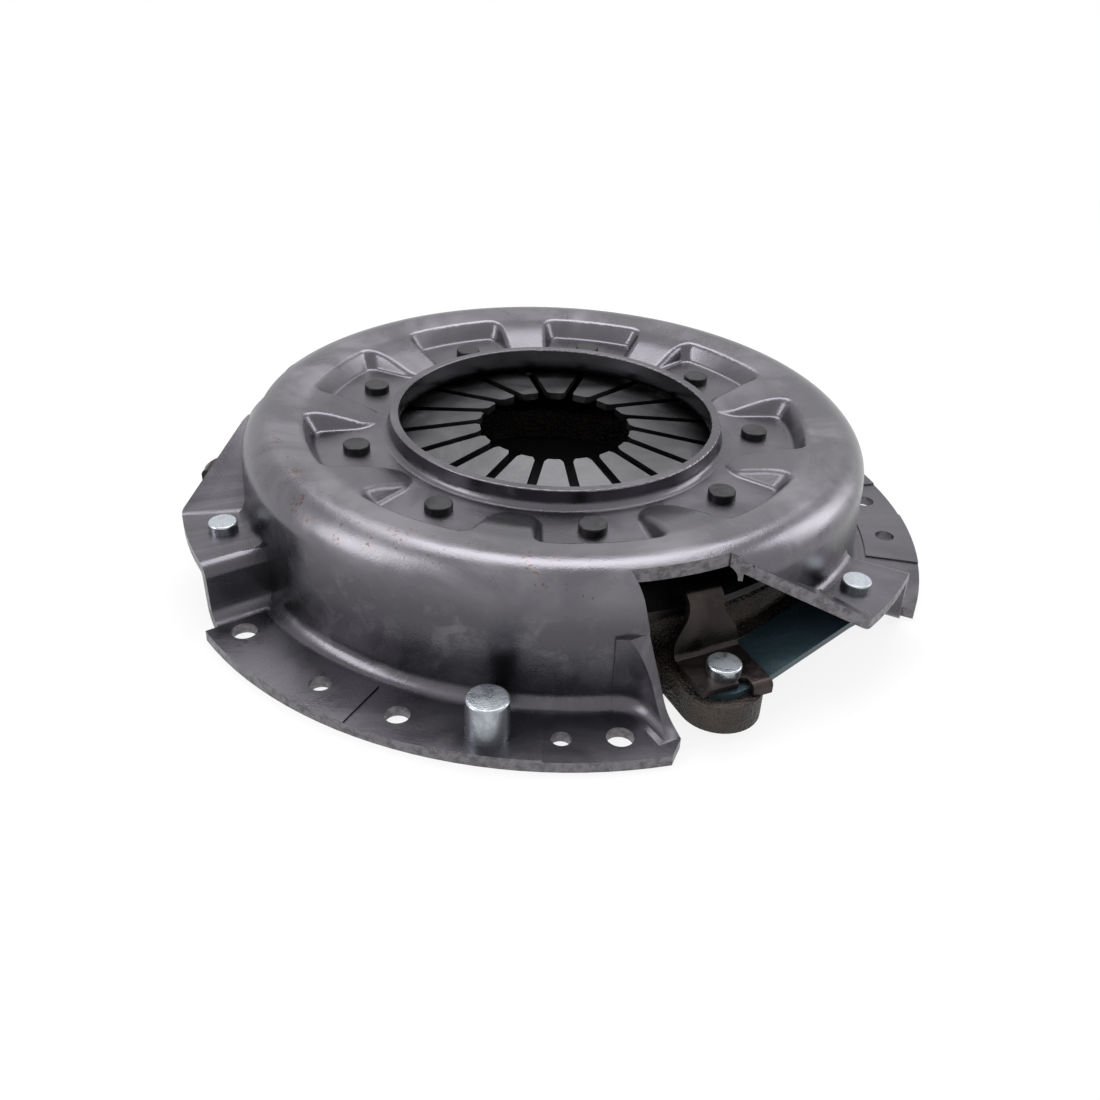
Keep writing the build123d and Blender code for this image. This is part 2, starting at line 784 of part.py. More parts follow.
ridge_z = spring_under(RIDGE_R) - RIDGE_GAP
with BuildPart() as pressure_plate:
    with BuildSketch(Plane.XZ):
        with BuildLine():
            Polyline(
                (PLATE_BORE_R, PLATE_FACE_Z),
                (PLATE_R, PLATE_FACE_Z),
                (PLATE_R, PLATE_RIM_Z),
                (PLATE_R - PLATE_RIM_CHAMFER, PLATE_RIM_Z + PLATE_RIM_CHAMFER),
                (PLATE_BODY_R - PLATE_GROOVE, PLATE_RIM_Z + PLATE_RIM_CHAMFER),
                (PLATE_BODY_R - PLATE_GROOVE, PLATE_GROOVE_TOP - PLATE_GROOVE / 2),
                (PLATE_BODY_R, PLATE_GROOVE_TOP),
                (PLATE_BODY_R, ridge_z - RIDGE_SHOULDER),
                (RIDGE_R, ridge_z),
                (RIDGE_R - RIDGE_TOP_W, ridge_z),
                (RIDGE_INNER_R, ridge_z - 2 * RIDGE_SHOULDER),
                (RIDGE_INNER_R - RIDGE_LEAN, PLATE_WEB_Z),
                (PLATE_BORE_R + PLATE_BORE_CHAMFER, PLATE_WEB_Z),
                (PLATE_BORE_R, PLATE_WEB_Z - PLATE_BORE_CHAMFER),
                close=True,
            )
        make_face()
        fillet(vertices().sort_by_distance((RIDGE_INNER_R - RIDGE_LEAN, PLATE_WEB_Z))[0], 4)
        fillet(vertices().sort_by_distance((RIDGE_R, ridge_z))[0], RIDGE_ROUND)
    revolve(axis=Axis.Z)
    for mid in SECTOR_MIDS:
        with BuildSketch(Plane.XY.offset(LUG_BOTTOM_Z)):
            with Locations(polar(STRAP_CIRCLE_R, mid + LUG_AT)[:2]):
                Circle(LUG_R)
            with Locations(Location(polar(LUG_ROOT_R, mid + LUG_AT), (0, 0, mid + LUG_AT))):
                Rectangle(2 * (STRAP_CIRCLE_R - LUG_ROOT_R), 2 * LUG_R)
        extrude(amount=LUG_TOP_Z - LUG_BOTTOM_Z)
        with BuildSketch(Plane.XY):
            with Locations(polar(STRAP_CIRCLE_R, mid + LUG_AT)[:2]):
                Circle(STRAP_HOLE_R)
        extrude(amount=TOOL_TOP_Z, mode=Mode.SUBTRACT)
pressure_plate.part.label = "pressure_plate"
export_step(pressure_plate.part, "parts/pressure_plate.step")


strap_length = 2 * STRAP_CIRCLE_R * sin(radians((SECTOR_STEP + EAR_RIVET_AT - LUG_AT) / 2))
stack_h = LEAVES * LEAF_T
strap_rise = EAR_TOP_Z - SHEET - stack_h - LUG_TOP_Z


def strap_plane(mid):
    """Plane along a strap: origin under the lug rivet, x to the ear, y up."""
    lug = polar(STRAP_CIRCLE_R, mid + LUG_AT)
    ear = polar(STRAP_CIRCLE_R, mid + SECTOR_STEP + EAR_RIVET_AT)
    along = (ear[0] - lug[0], ear[1] - lug[1], 0)
    return Plane(origin=lug, x_dir=along, z_dir=(along[1], -along[0], 0))


def strap_leaf(mid, layer):
    """One spring leaf between a lug and the next ear, a layer up its stack."""
    low = LUG_TOP_Z + layer * LEAF_T
    end = LEAF_W / 2
    line = [
        (-end, low),
        (LEAF_FLAT, low),
        (strap_length - LEAF_FLAT, low + strap_rise),
        (strap_length + end, low + strap_rise),
    ]
    side = strap_plane(mid)
    top = Plane(origin=side.origin, x_dir=side.x_dir, z_dir=(0, 0, 1))
    with BuildPart() as leaf:
        with BuildSketch(side):
            with BuildLine():
                FilletPolyline(*line, radius=LEAF_BEND)
                FilletPolyline(*[(x, y + LEAF_T) for x, y in line], radius=LEAF_BEND)
                Line(line[0], (line[0][0], line[0][1] + LEAF_T))
                Line(line[-1], (line[-1][0], line[-1][1] + LEAF_T))
            make_face()
        extrude(amount=end, both=True)
        with BuildSketch(top):
            with Locations((strap_length / 2, 0)):
                SlotCenterToCenter(strap_length, LEAF_W)
            with Locations((0, 0), (strap_length, 0)):
                Circle(STRAP_HOLE_R, mode=Mode.SUBTRACT)
        extrude(amount=TOOL_TOP_Z, mode=Mode.INTERSECT)
    return leaf.part


for number, mid in enumerate(SECTOR_MIDS, 1):
    for layer in range(LEAVES):
        drive_strap = strap_leaf(mid, layer)
        drive_strap.label = f"drive_strap_{number}_leaf_{layer + 1}"
        export_step(drive_strap, f"parts/{drive_strap.label}.step")


clip_seat = LUG_TOP_Z + stack_h
clip_top = clip_seat + CLIP_T


def clip(mid):
    """Spring clip that holds the spring's rim on one lug of the plate."""
    angle = mid + LUG_AT
    hook_z = spring_top(CLIP_HOOK_R) + CLIP_GAP + CLIP_T
    line = [
        (STRAP_CIRCLE_R + CLIP_OUT, clip_top),
        (CLIP_RISE_R, clip_top),
        (CLIP_NECK_R, CLIP_NECK_Z),
        (CLIP_PEAK_R, CLIP_PEAK_Z),
        (CLIP_HOOK_R, hook_z),
    ]
    under = mitre(line[::-1], CLIP_T)[::-1]
    with BuildPart() as strip:
        with BuildSketch(side_plane(angle)):
            with BuildLine():
                FilletPolyline(
                    *line, radius=(CLIP_BEND, CLIP_BEND + CLIP_T, CLIP_BEND + CLIP_T)
                )
                FilletPolyline(*under, radius=(CLIP_BEND + CLIP_T, CLIP_BEND, CLIP_BEND))
                Line(line[0], under[0])
                Line(line[-1], under[-1])
            make_face()
        extrude(amount=CLIP_W / 2, both=True)
        with BuildSketch(cross_plane(angle)):
            with BuildLine():
                half = [
                    (CLIP_W / 2, 0),
                    (CLIP_W / 2, CLIP_WAIST_LOW_Z),
                    (CLIP_NECK_W / 2, CLIP_WAIST_HIGH_Z),
                    (CLIP_NECK_W / 2, TOOL_TOP_Z),
                ]
                FilletPolyline(*half, radius=CLIP_WAIST_BEND)
                FilletPolyline(*[(-x, y) for x, y in half], radius=CLIP_WAIST_BEND)
                Line(half[0], (-half[0][0], half[0][1]))
                Line(half[-1], (-half[-1][0], half[-1][1]))
            make_face()
        extrude(amount=REACH, mode=Mode.INTERSECT)
        with BuildSketch(Plane.XY):
            with Locations(polar(STRAP_CIRCLE_R, angle)[:2]):
                Circle(STRAP_HOLE_R)
            with Locations(side_plane(angle).from_local_coords((NOTCH_R, 0, -NOTCH_AT))):
                Circle(NOTCH_SIZE)
        extrude(amount=TOOL_TOP_Z, mode=Mode.SUBTRACT)
        tab_plane = side_plane(angle).offset(-TAB_START - TAB_W)
        tab_in = STRAP_CIRCLE_R + LEAF_W / 2 - TAB_SEAT
        with BuildSketch(tab_plane):
            with BuildLine():
                FilletPolyline(
                    (STRAP_CIRCLE_R + CLIP_OUT - CLIP_BEND, clip_top),
                    (tab_in + CLIP_T, clip_top),
                    (tab_in + CLIP_T, clip_top - TAB_DROP),
                    radius=CLIP_T,
                )
                Polyline(
                    (tab_in + CLIP_T, clip_top - TAB_DROP),
                    (tab_in, clip_top - TAB_DROP),
                    (tab_in, clip_seat),
                    (STRAP_CIRCLE_R + CLIP_OUT - CLIP_BEND, clip_seat),
                    (STRAP_CIRCLE_R + CLIP_OUT - CLIP_BEND, clip_top),
                )
            make_face()
        extrude(amount=TAB_W)
    return strip.part


for number, mid in enumerate(SECTOR_MIDS, 1):
    retracting_clip = clip(mid)
    retracting_clip.label = f"retracting_clip_{number}"
    export_step(retracting_clip, f"parts/{retracting_clip.label}.step")


def ring_of_rivets(name, pin, angle):
    """Three alike rivets on the strap circle, one node."""
    with BuildPart() as rivets:
        with PolarLocations(STRAP_CIRCLE_R, SECTORS, start_angle=angle):
            add(pin)
    rivets.part.label = name
    export_step(rivets.part, f"parts/{name}.step")


lug_rivet = rivet(
    clip_top, LUG_HEAD_R, STRAP_HEAD_H, STRAP_RIVET_R, LUG_BOTTOM_Z, STRAP_TAIL_R, STRAP_TAIL_H
)
ring_of_rivets("lug_rivets", lug_rivet, SECTOR_MIDS[0] + LUG_AT)

ear_rivet = rivet(
    EAR_TOP_Z,
    EAR_HEAD_R,
    STRAP_HEAD_H,
    STRAP_RIVET_R,
    EAR_TOP_Z - SHEET - stack_h,
    STRAP_TAIL_R,
    STRAP_TAIL_H,
)
ring_of_rivets("ear_rivets", ear_rivet, SECTOR_MIDS[0] + EAR_RIVET_AT)


weight_seat = SHEET + PAD_RISE

with BuildPart() as balance_weight:
    weight_at = polar(BOLT_CIRCLE_R, SECTOR_MIDS[0] + BALANCE_HOLE_OFFSET)[:2]
    with BuildSketch(Plane.XY.offset(weight_seat)):
        with Locations(weight_at):
            Circle(WEIGHT_R)
    extrude(amount=WEIGHT_H)
    fillet(balance_weight.edges().sort_by(Axis.Z)[-1], WEIGHT_HEAD_EDGE)
    with BuildSketch(Plane.XY):
        with Locations(weight_at):
            Circle(BALANCE_HOLE_R - STEM_CLEARANCE)
    extrude(amount=weight_seat)
balance_weight.part.label = "balance_weight"
export_step(balance_weight.part, "parts/balance_weight.step")
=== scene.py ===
"""Clutch pressure plate: the dressed model, its finishes and a small studio."""

import logging
import math
from dataclasses import dataclass, field
from enum import Enum

import bmesh
import bpy
from mathutils import Matrix, Vector

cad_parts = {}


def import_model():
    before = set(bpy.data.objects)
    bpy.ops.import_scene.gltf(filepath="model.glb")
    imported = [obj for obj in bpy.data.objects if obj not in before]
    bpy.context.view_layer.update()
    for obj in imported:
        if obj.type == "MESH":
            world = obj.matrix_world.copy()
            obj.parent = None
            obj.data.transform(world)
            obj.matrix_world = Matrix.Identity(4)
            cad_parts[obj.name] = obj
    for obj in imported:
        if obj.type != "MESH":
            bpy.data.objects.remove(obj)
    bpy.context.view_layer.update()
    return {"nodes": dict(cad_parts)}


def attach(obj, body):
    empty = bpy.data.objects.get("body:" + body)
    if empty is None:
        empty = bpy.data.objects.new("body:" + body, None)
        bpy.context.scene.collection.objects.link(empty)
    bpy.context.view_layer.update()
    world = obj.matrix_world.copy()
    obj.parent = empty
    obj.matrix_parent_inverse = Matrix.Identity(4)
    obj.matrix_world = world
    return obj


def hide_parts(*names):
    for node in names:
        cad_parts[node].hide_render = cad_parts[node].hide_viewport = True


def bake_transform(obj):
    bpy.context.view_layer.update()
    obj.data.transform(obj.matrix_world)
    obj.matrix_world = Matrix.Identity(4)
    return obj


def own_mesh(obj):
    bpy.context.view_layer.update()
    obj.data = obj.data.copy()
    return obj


LOG = logging.getLogger("clutch")
Colour = tuple[float, float, float]
Point = tuple[float, float, float]
MM = 0.001
CREASE = math.radians(32)
MERGE = 2e-6
FLAT = math.radians(0.4)
BEVEL_FROM = math.radians(40)
SMOOTH_WEIGHT = 80
CLUSTER_SCALE = 0.16
CLUSTER_WEIGHT = 0.55


class Body(Enum):
    """The two rigid bodies of the frame."""

    COVER = "cover_body"
    PLATE = "plate_body"


class Slot(Enum):
    """The record's material slots."""

    COVER = "cover_steel"
    SPRING = "spring_steel"
    WIRE = "wire_steel"
    BLACK_RIVET = "rivet_black"
    ZINC_RIVET = "rivet_zinc"
    IRON = "plate_iron"
    STRAP = "strap_steel"
    CLIP = "clip_steel"


class Graph:
    """Adds and joins the nodes of one node tree."""

    def __init__(self, tree: bpy.types.NodeTree) -> None:
        """Keeps the tree.

        Args:
            tree: The material's or the group's node tree.
        """
        self.tree = tree

    def node(self, kind: str, **values: object) -> bpy.types.Node:
        """Adds a node and sets its properties and inputs.

        Args:
            kind: The node's type name without the ShaderNode prefix.
            values: Properties by name, or inputs by name with _ for a space.

        Returns:
            The new node.
        """
        new = self.tree.nodes.new("ShaderNode" + kind)
        for name, value in values.items():
            if hasattr(new, name):
                setattr(new, name, value)
            elif isinstance(value, bpy.types.NodeSocket):
                self.tree.links.new(value, new.inputs[name.replace("_", " ")])
            else:
                new.inputs[name.replace("_", " ")].default_value = value
        return new

    def math(self, operation: str, *values: object, clamp: bool = False) -> bpy.types.NodeSocket:
        """Adds a Math node.

        Args:
            operation: The node's operation.
            values: Sockets or numbers for its inputs, in order.
            clamp: True to keep the result between 0 and 1.

        Returns:
            The node's output.
        """
        new = self.node("Math", operation=operation, use_clamp=clamp)
        for number, value in enumerate(values):
            if isinstance(value, bpy.types.NodeSocket):
                self.tree.links.new(value, new.inputs[number])
            else:
                new.inputs[number].default_value = value
        return new.outputs[0]

    def band(
        self, value: bpy.types.NodeSocket, low: float, high: float, soft: float
    ) -> bpy.types.NodeSocket:
        """A mask that is 1 between two values and fades out beyond them.

        Args:
            value: The value to test.
            low: Where the band starts.
            high: Where the band ends.
            soft: How far it fades.

        Returns:
            The mask.
        """
        rise = self.ramp(value, low - soft, low)
        fall = self.ramp(value, high, high + soft)
        return self.math("SUBTRACT", rise, fall, clamp=True)

    def ramp(self, value: bpy.types.NodeSocket, low: float, high: float) -> bpy.types.NodeSocket:
        """Maps low to 0 and high to 1, smoothly.

        Args:
            value: The value to map.
            low: The value that gives 0.
            high: The value that gives 1.

        Returns:
            The mapped value.
        """
        new = self.node("MapRange", interpolation_type="SMOOTHSTEP")
        self.tree.links.new(value, new.inputs[0])
        new.inputs[1].default_value = low
        new.inputs[2].default_value = high
        return new.outputs[0]

    def mix(self, mask: object, first: object, second: object) -> bpy.types.NodeSocket:
        """Mixes two colours.

        Args:
            mask: The share of the second colour, a socket or a number.
            first: The first colour, a socket or three numbers.
            second: The second colour, a socket or three numbers.

        Returns:
            The mixed colour.
        """
        new = self.node("Mix", data_type="RGBA")
        for place, value in ((0, mask), (6, first), (7, second)):
            if isinstance(value, bpy.types.NodeSocket):
                self.tree.links.new(value, new.inputs[place])
            elif place:
                new.inputs[place].default_value = (*value, 1.0)
            else:
                new.inputs[place].default_value = value
        return new.outputs[2]


class EffectGroup:
    """A shared effect as a node group with named inputs and outputs."""

    def __init__(
        self, name: str, inputs: tuple[tuple[str, float], ...], outputs: tuple[str, ...]
    ) -> None:
        """Makes the empty group.

        Args:
            name: The group's name.
            inputs: Names and usual values of its number inputs.
            outputs: Names of its number outputs.
        """
        self.tree = bpy.data.node_groups.new(name, "ShaderNodeTree")
        self.tree.interface.new_socket("Place", in_out="INPUT", socket_type="NodeSocketVector")
        for label, value in inputs:
            socket = self.tree.interface.new_socket(label, in_out="INPUT", socket_type="NodeSocketFloat")
            socket.default_value = value
        for label in outputs:
            self.tree.interface.new_socket(label, in_out="OUTPUT", socket_type="NodeSocketFloat")
        self.entry = self.tree.nodes.new("NodeGroupInput")
        self.exit = self.tree.nodes.new("NodeGroupOutput")
        self.graph = Graph(self.tree)

    def give(self, name: str, value: bpy.types.NodeSocket) -> None:
        """Joins a value to an output of the group."""
        self.tree.links.new(value, self.exit.inputs[name])

    def use(self, graph: Graph, place: bpy.types.NodeSocket, **values: object) -> bpy.types.Node:
        """Places the group in a material.

        Args:
            graph: The material's graph.
            place: The coordinates that it reads.
            values: Its inputs by name.

        Returns:
            The group's node.
        """
        new = graph.tree.nodes.new("ShaderNodeGroup")
        new.node_tree = self.tree
        graph.tree.links.new(place, new.inputs["Place"])
        for name, value in values.items():
            if isinstance(value, bpy.types.NodeSocket):
                graph.tree.links.new(value, new.inputs[name])
            else:
                new.inputs[name].default_value = value
        return new


class Effects:
    """The effects that the finishes share, each built once."""

    def __init__(self) -> None:
        """Builds the groups."""
        self.smudge = self._smudge()
        self.grain = self._grain()
        self.specks = self._specks()
        self.around = self._around()

    @staticmethod
    def _smudge() -> EffectGroup:
        """Soft cloudy marks of oil and handling."""
        group = EffectGroup("smudges", (("Scale", 30.0), ("Low", 0.4), ("High", 0.7)), ("Mask",))
        noise = group.graph.node("TexNoise", Detail=5.0, Roughness=0.62, Distortion=0.6)
        group.tree.links.new(group.entry.outputs["Place"], noise.inputs["Vector"])
        group.tree.links.new(group.entry.outputs["Scale"], noise.inputs["Scale"])
        spread = group.graph.node("MapRange", interpolation_type="SMOOTHSTEP")
        group.tree.links.new(noise.outputs[0], spread.inputs[0])
        group.tree.links.new(group.entry.outputs["Low"], spread.inputs[1])
        group.tree.links.new(group.entry.outputs["High"], spread.inputs[2])
        group.give("Mask", spread.outputs[0])
        return group

    @staticmethod
    def _grain() -> EffectGroup:
        """Fine grain of a rolled, blasted or cast surface."""
        group = EffectGroup("grain", (("Scale", 900.0), ("Pits", 0.5)), ("Height",))
        fine = group.graph.node("TexNoise", Detail=3.0, Roughness=0.6)
        cells = group.graph.node("TexVoronoi", feature="F1")
        for texture in (fine, cells):
            group.tree.links.new(group.entry.outputs["Place"], texture.inputs["Vector"])
            group.tree.links.new(group.entry.outputs["Scale"], texture.inputs["Scale"])
        pits = group.graph.math("MULTIPLY", cells.outputs["Distance"], group.entry.outputs["Pits"])
        group.give("Height", group.graph.math("ADD", fine.outputs[0], pits))
        return group

    @staticmethod
    def _specks() -> EffectGroup:
        """Small scattered specks, such as rust or dust."""
        group = EffectGroup("specks", (("Scale", 500.0), ("Share", 0.6), ("Edge", 0.05)), ("Mask",))
        dots = group.graph.node("TexNoise", Detail=2.0, Roughness=0.55)
        cluster = group.graph.node("TexNoise", Detail=2.0)
        group.tree.links.new(group.entry.outputs["Place"], dots.inputs["Vector"])
        group.tree.links.new(group.entry.outputs["Scale"], dots.inputs["Scale"])
        group.tree.links.new(group.entry.outputs["Place"], cluster.inputs["Vector"])
        wide = group.graph.math("MULTIPLY", group.entry.outputs["Scale"], CLUSTER_SCALE)
        group.tree.links.new(wide, cluster.inputs["Scale"])
        both = group.graph.math("MULTIPLY_ADD", cluster.outputs[0], CLUSTER_WEIGHT, dots.outputs[0])
        over = group.graph.math("SUBTRACT", both, group.entry.outputs["Share"])
        sharp = group.graph.math("DIVIDE", over, group.entry.outputs["Edge"], clamp=True)
        group.give("Mask", sharp)
        return group

    @staticmethod
    def _around() -> EffectGroup:
        """The place round the part's axis: radius and height in mm, angle in degrees."""
        group = EffectGroup("around_axis", (), ("Radius", "Angle", "Height"))
        split = group.graph.node("SeparateXYZ")
        group.tree.links.new(group.entry.outputs["Place"], split.inputs[0])
        east, north, up = split.outputs
        squares = [group.graph.math("POWER", side, 2.0) for side in (east, north)]
        reach = group.graph.math("SQRT", group.graph.math("ADD", *squares))
        group.give("Radius", group.graph.math("MULTIPLY", reach, 1 / MM))
        turn = group.graph.math("ARCTAN2", north, east)
        group.give("Angle", group.graph.math("MULTIPLY", turn, 180 / math.pi))
        group.give("Height", group.graph.math("MULTIPLY", up, 1 / MM))
        return group


@dataclass(frozen=True)
class Finish:
    """A worked metal surface: colour, smudges, gloss and grain.

    Sizes are in metres, colours are linear, and gloss is roughness.
    """

    name: str
    base: Colour
    tone: Colour
    metallic: float = 1.0
    gloss: tuple[float, float] = (0.35, 0.5)
    smudge_scale: float = 28.0
    smudge: tuple[float, float] = (0.38, 0.68)
    grain_scale: float = 1400.0
    grain_pits: float = 0.4
    grain_depth: float = 0.04 * MM
    speck_colour: Colour = (0.05, 0.045, 0.04)
    speck_scale: float = 1500.0
    speck_share: float = 1.04

    def material(self, effects: Effects) -> bpy.types.Material:
        """Builds the material.

        Args:
            effects: The shared effect groups.

        Returns:
            The finished material.
        """
        made = bpy.data.materials.new(self.name)
        made.use_nodes = True
        graph = Graph(made.node_tree)
        shader = made.node_tree.nodes["Principled BSDF"]
        place = graph.node("TexCoord").outputs["Object"]
        smudge = effects.smudge.use(
            graph, place, Scale=self.smudge_scale, Low=self.smudge[0], High=self.smudge[1]
        ).outputs[0]
        grain = effects.grain.use(graph, place, Scale=self.grain_scale, Pits=self.grain_pits).outputs[0]
        speck = effects.specks.use(
            graph, place, Scale=self.speck_scale, Share=self.speck_share
        ).outputs[0]
        colour = graph.mix(smudge, self.base, self.tone)
        colour = self.tint(graph, effects, place, colour)
        colour = graph.mix(speck, colour, self.speck_colour)
        rough = graph.node("MapRange", To_Min=self.gloss[0], To_Max=self.gloss[1])
        graph.tree.links.new(smudge, rough.inputs[0])
        bump = graph.node("Bump", Distance=self.grain_depth, Strength=1.0)
        graph.tree.links.new(grain, bump.inputs["Height"])
        graph.tree.links.new(colour, shader.inputs["Base Color"])
        graph.tree.links.new(rough.outputs[0], shader.inputs["Roughness"])
        graph.tree.links.new(bump.outputs[0], shader.inputs["Normal"])
        shader.inputs["Metallic"].default_value = self.metallic
        made.diffuse_color = (*self.base, 1.0)
        return made

    def tint(
        self, graph: Graph, effects: Effects, place: bpy.types.NodeSocket, colour: bpy.types.NodeSocket
    ) -> bpy.types.NodeSocket:
        """The colour with this finish's own marks; none on a plain finish."""
        return colour


@dataclass(frozen=True)
class PressedSteel(Finish):
    """Oiled sheet steel with draw marks, rust specks and painted shade on skirt, lip and inner ring.

    Radii and heights are in millimetres, and angles in degrees.
    """

    rust: Colour = (0.12, 0.06, 0.04)
    rust_share: float = 0.8
    rust_radius: tuple[float, float] = (101.0, 112.0)
    rust_angle: tuple[float, float] = (-168.0, -98.0)
    streak: Colour = (0.19, 0.185, 0.2)
    # Painted shade on the upright lip and the recessed ring round the rivets, by radius.
    crown_painted_shade: Colour = (0.082, 0.078, 0.088)
    crown_painted_shade_radius: tuple[float, float] = (58.0, 90.0)
    crown_painted_shade_share: float = 0.6
    # Painted shade: the skirt and flange are made darker towards the bottom.
    skirt_painted_shade: Colour = (0.072, 0.069, 0.079)
    skirt_painted_shade_height: tuple[float, float] = (46.0, 30.0)
    skirt_painted_shade_share: float = 0.72
    drawn_height: tuple[float, float] = (8.0, 34.0)
    drawn_share: float = 0.5

    def tint(
        self, graph: Graph, effects: Effects, place: bpy.types.NodeSocket, colour: bpy.types.NodeSocket
    ) -> bpy.types.NodeSocket:
        """Adds the darker skirt and flange and the darker lip and inner ring, all painted shade, the
        draw marks and the rust.

        Args:
            graph: The material's graph.
            effects: The shared effect groups.
            place: Object coordinates.
            colour: The colour so far.

        Returns:
            The marked colour.
        """
        around = effects.around.use(graph, place)
        radius, angle, height = around.outputs
        # Painted shade on the skirt and flange: none above 46 mm, full below 30 mm.
        low = graph.math("MULTIPLY", graph.ramp(height, *self.skirt_painted_shade_height), self.skirt_painted_shade_share)
        colour = graph.mix(low, colour, self.skirt_painted_shade)
        strokes = graph.node(
            "CombineXYZ", X=graph.math("MULTIPLY", angle, 0.22), Y=graph.math("MULTIPLY", height, 0.09)
        )
        drawn = effects.smudge.use(graph, strokes.outputs[0], Scale=1.0, Low=0.46, High=0.7).outputs[0]
        skirt = graph.band(height, *self.drawn_height, 6.0)
        drawn = graph.math("MULTIPLY", graph.math("MULTIPLY", drawn, skirt), self.drawn_share)
        colour = graph.mix(drawn, colour, self.streak)
        # Painted shade: darkens the lip and the recessed ring round the rivets.
        crown_painted_shade_mask = graph.math("MULTIPLY", graph.band(radius, *self.crown_painted_shade_radius, 5.0), self.crown_painted_shade_share)
        colour = graph.mix(crown_painted_shade_mask, colour, self.crown_painted_shade)
        spots = effects.specks.use(graph, place, Scale=900.0, Share=0.9, Edge=0.1).outputs[0]
        patch = graph.band(radius, *self.rust_radius, 2.5)
        sweep = graph.band(angle, *self.rust_angle, 8.0)
        where = graph.math("MULTIPLY", spots, patch)
        rusty = graph.math("MULTIPLY", where, graph.math("MULTIPLY", sweep, self.rust_share))
        return graph.mix(rusty, colour, self.rust)


class Part:
    """One finished piece of the visible model."""

    def __init__(self, name: str, slot: Slot) -> None:
        """Starts an empty mesh for the piece.

        Args:
            name: The piece's name.
            slot: The record's slot of its finish; it is kept but not used.
        """
        self.name = name
        self.slot = slot
        self.mesh = bmesh.new()

    def copy_node(self, node: bpy.types.Object) -> None:
        """Takes a CAD node's shape, with its loose triangles merged."""
        self.mesh.from_mesh(node.data)
        bmesh.ops.remove_doubles(self.mesh, verts=self.mesh.verts, dist=MERGE)

    def join_flats(self) -> None:
        """Joins neighbouring faces of one finish that lie almost in one plane."""
        bmesh.ops.dissolve_limit(
            self.mesh,
            angle_limit=FLAT,
            verts=self.mesh.verts,
            edges=self.mesh.edges,
            delimit={"MATERIAL"},
        )

    def soften(self) -> None:
        """Smooth faces, with creases where the surface turns sharply."""
        for face in self.mesh.faces:
            face.smooth = True
        for edge in self.mesh.edges:
            edge.smooth = edge.calc_face_angle(0.0) < CREASE

    def finish(
        self, materials: tuple[bpy.types.Material, ...], replaced: tuple[str, ...], edge: float = 0.0
    ) -> bpy.types.Object:
        """Makes the object, gives it its materials and hides the CAD nodes that it replaces.

        Args:
            materials: The piece's materials, in the order of its faces' indices.
            replaced: CAD nodes that it stands for.
            edge: Width of a rounded edge, in metres, or 0 for none.

        Returns:
            The object.
        """
        data = bpy.data.meshes.new(self.name)
        self.mesh.to_mesh(data)
        self.mesh.free()
        made = bpy.data.objects.new(self.name, data)
        bpy.context.scene.collection.objects.link(made)
        for material in materials:
            data.materials.append(material)
        if edge:
            bevel = made.modifiers.new("broken_edges", "BEVEL")
            bevel.width = edge
            bevel.segments = 2
            bevel.limit_method = "ANGLE"
            bevel.angle_limit = BEVEL_FROM
            bevel.harden_normals = True
        smooth = made.modifiers.new("even_shading", "WEIGHTED_NORMAL")
        smooth.keep_sharp = True
        smooth.weight = SMOOTH_WEIGHT
        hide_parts(*replaced)
        LOG.info("%s: %d faces", self.name, len(data.polygons))
        return made


@dataclass
class CoverPressing:
    """The pressed steel cover, with its sheared edges in a brighter, rougher finish."""

    nodes: dict[str, bpy.types.Object]
    sheet: float = 3.8 * MM
    slack: float = 0.7 * MM
    shortest: float = 8 * MM
    steel: PressedSteel = field(
        default_factory=lambda: PressedSteel(
            "pressed_steel",
            base=(0.135, 0.130, 0.145),
            tone=(0.19, 0.183, 0.2),
            gloss=(0.25, 0.42),
            smudge_scale=24.0,
        )
    )
    cut: Finish = field(
        default_factory=lambda: Finish(
            "sheared_edge",
            base=(0.19, 0.183, 0.195),
            tone=(0.11, 0.105, 0.113),
            gloss=(0.34, 0.5),
            smudge_scale=420.0,
            grain_scale=1500.0,
            grain_depth=0.14 * MM,
        )
    )

    def mark_cuts(self, mesh: bmesh.types.BMesh) -> None:
        """Gives material 1 to the bands between creases that are one sheet wide.

        Args:
            mesh: The cover's mesh.
        """
        seen: set[bmesh.types.BMFace] = set()
        for start in mesh.faces:
            if start in seen:
                continue
            seen.add(start)
            band, rim = [start], 0.0
            for face in band:
                for edge in face.edges:
                    if edge.calc_face_angle(math.pi) > CREASE:
                        rim += edge.calc_length()
                        continue
                    for other in edge.link_faces:
                        if other not in seen:
                            seen.add(other)
                            band.append(other)
            area = sum(face.calc_area() for face in band)
            if rim > self.shortest and 2 * area / rim < self.sheet + self.slack:
                for face in band:
                    face.material_index = 1

    def build(self, effects: Effects) -> bpy.types.Object:
        """Makes the cover.

        Args:
            effects: The shared effect groups.

        Returns:
            The cover's object.
        """
        part = Part("cover_pressing", Slot.COVER)
        part.copy_node(self.nodes["clutch_cover"])
        self.mark_cuts(part.mesh)
        part.join_flats()
        part.soften()
        made = part.finish((self.steel.material(effects), self.cut.material(effects)), ("clutch_cover",))
        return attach(made, Body.COVER.value)


